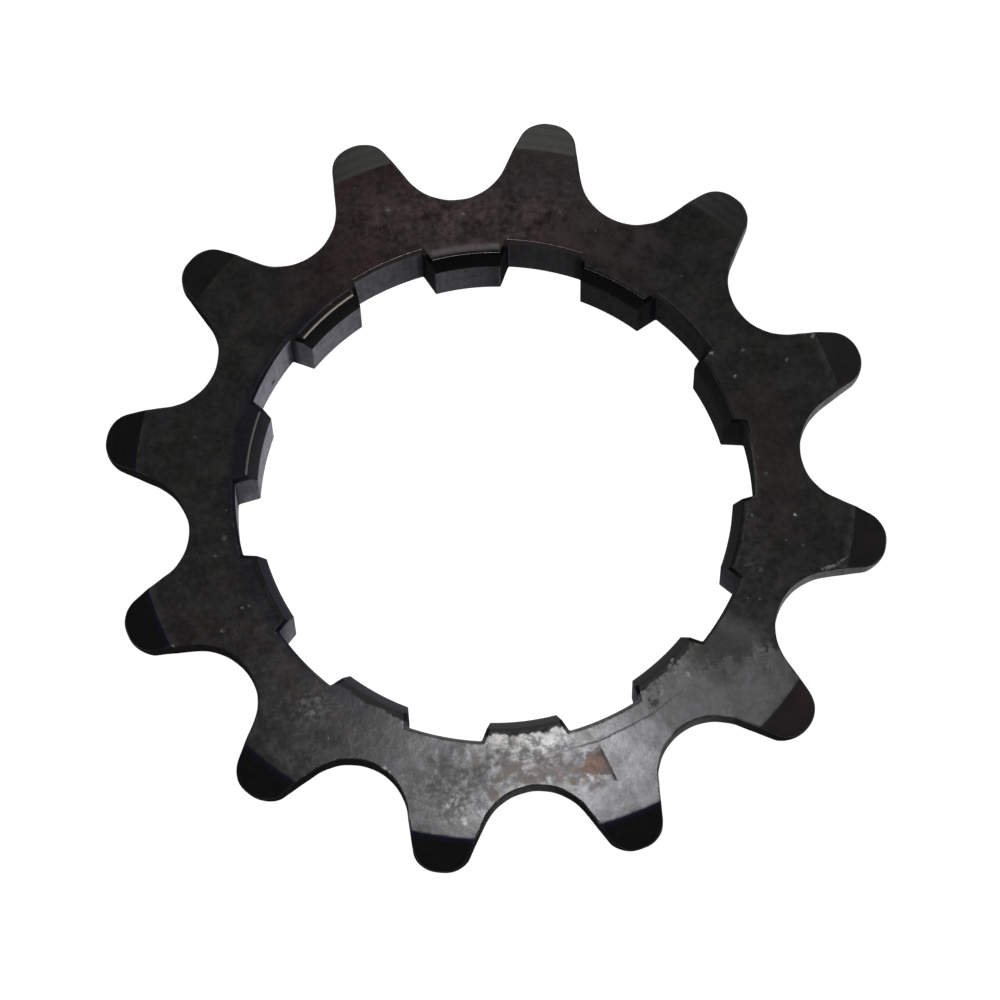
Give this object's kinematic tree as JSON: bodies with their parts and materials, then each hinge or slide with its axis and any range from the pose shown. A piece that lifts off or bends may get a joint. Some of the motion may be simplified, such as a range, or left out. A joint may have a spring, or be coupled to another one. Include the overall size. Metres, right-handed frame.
{
  "type": "cassette cog",
  "caption": "Small rear sprocket in one piece with a spacing boss: its rounded teeth carry a roller chain and the lugs in its bore key it to a splined freehub body.",
  "frame": {"origin": "on the cog's axis, in the plane of the boss's end face, which is the face it rests on", "axes": "+Z along the axis from the boss's end face to the toothed plate's front face; +Y through the middle of a tooth gap and the middle of a spline lug; +X completes the right-handed frame"},
  "size_m": [0.0512, 0.0512, 0.0054],
  "materials": {
    "blackened_steel": "satin black-oxide steel, turned and rubbed by the chain, with a little rust-brown staining"
  },
  "bodies": {
    "root": {"cog": "blackened_steel"}
  },
  "joints": []
}
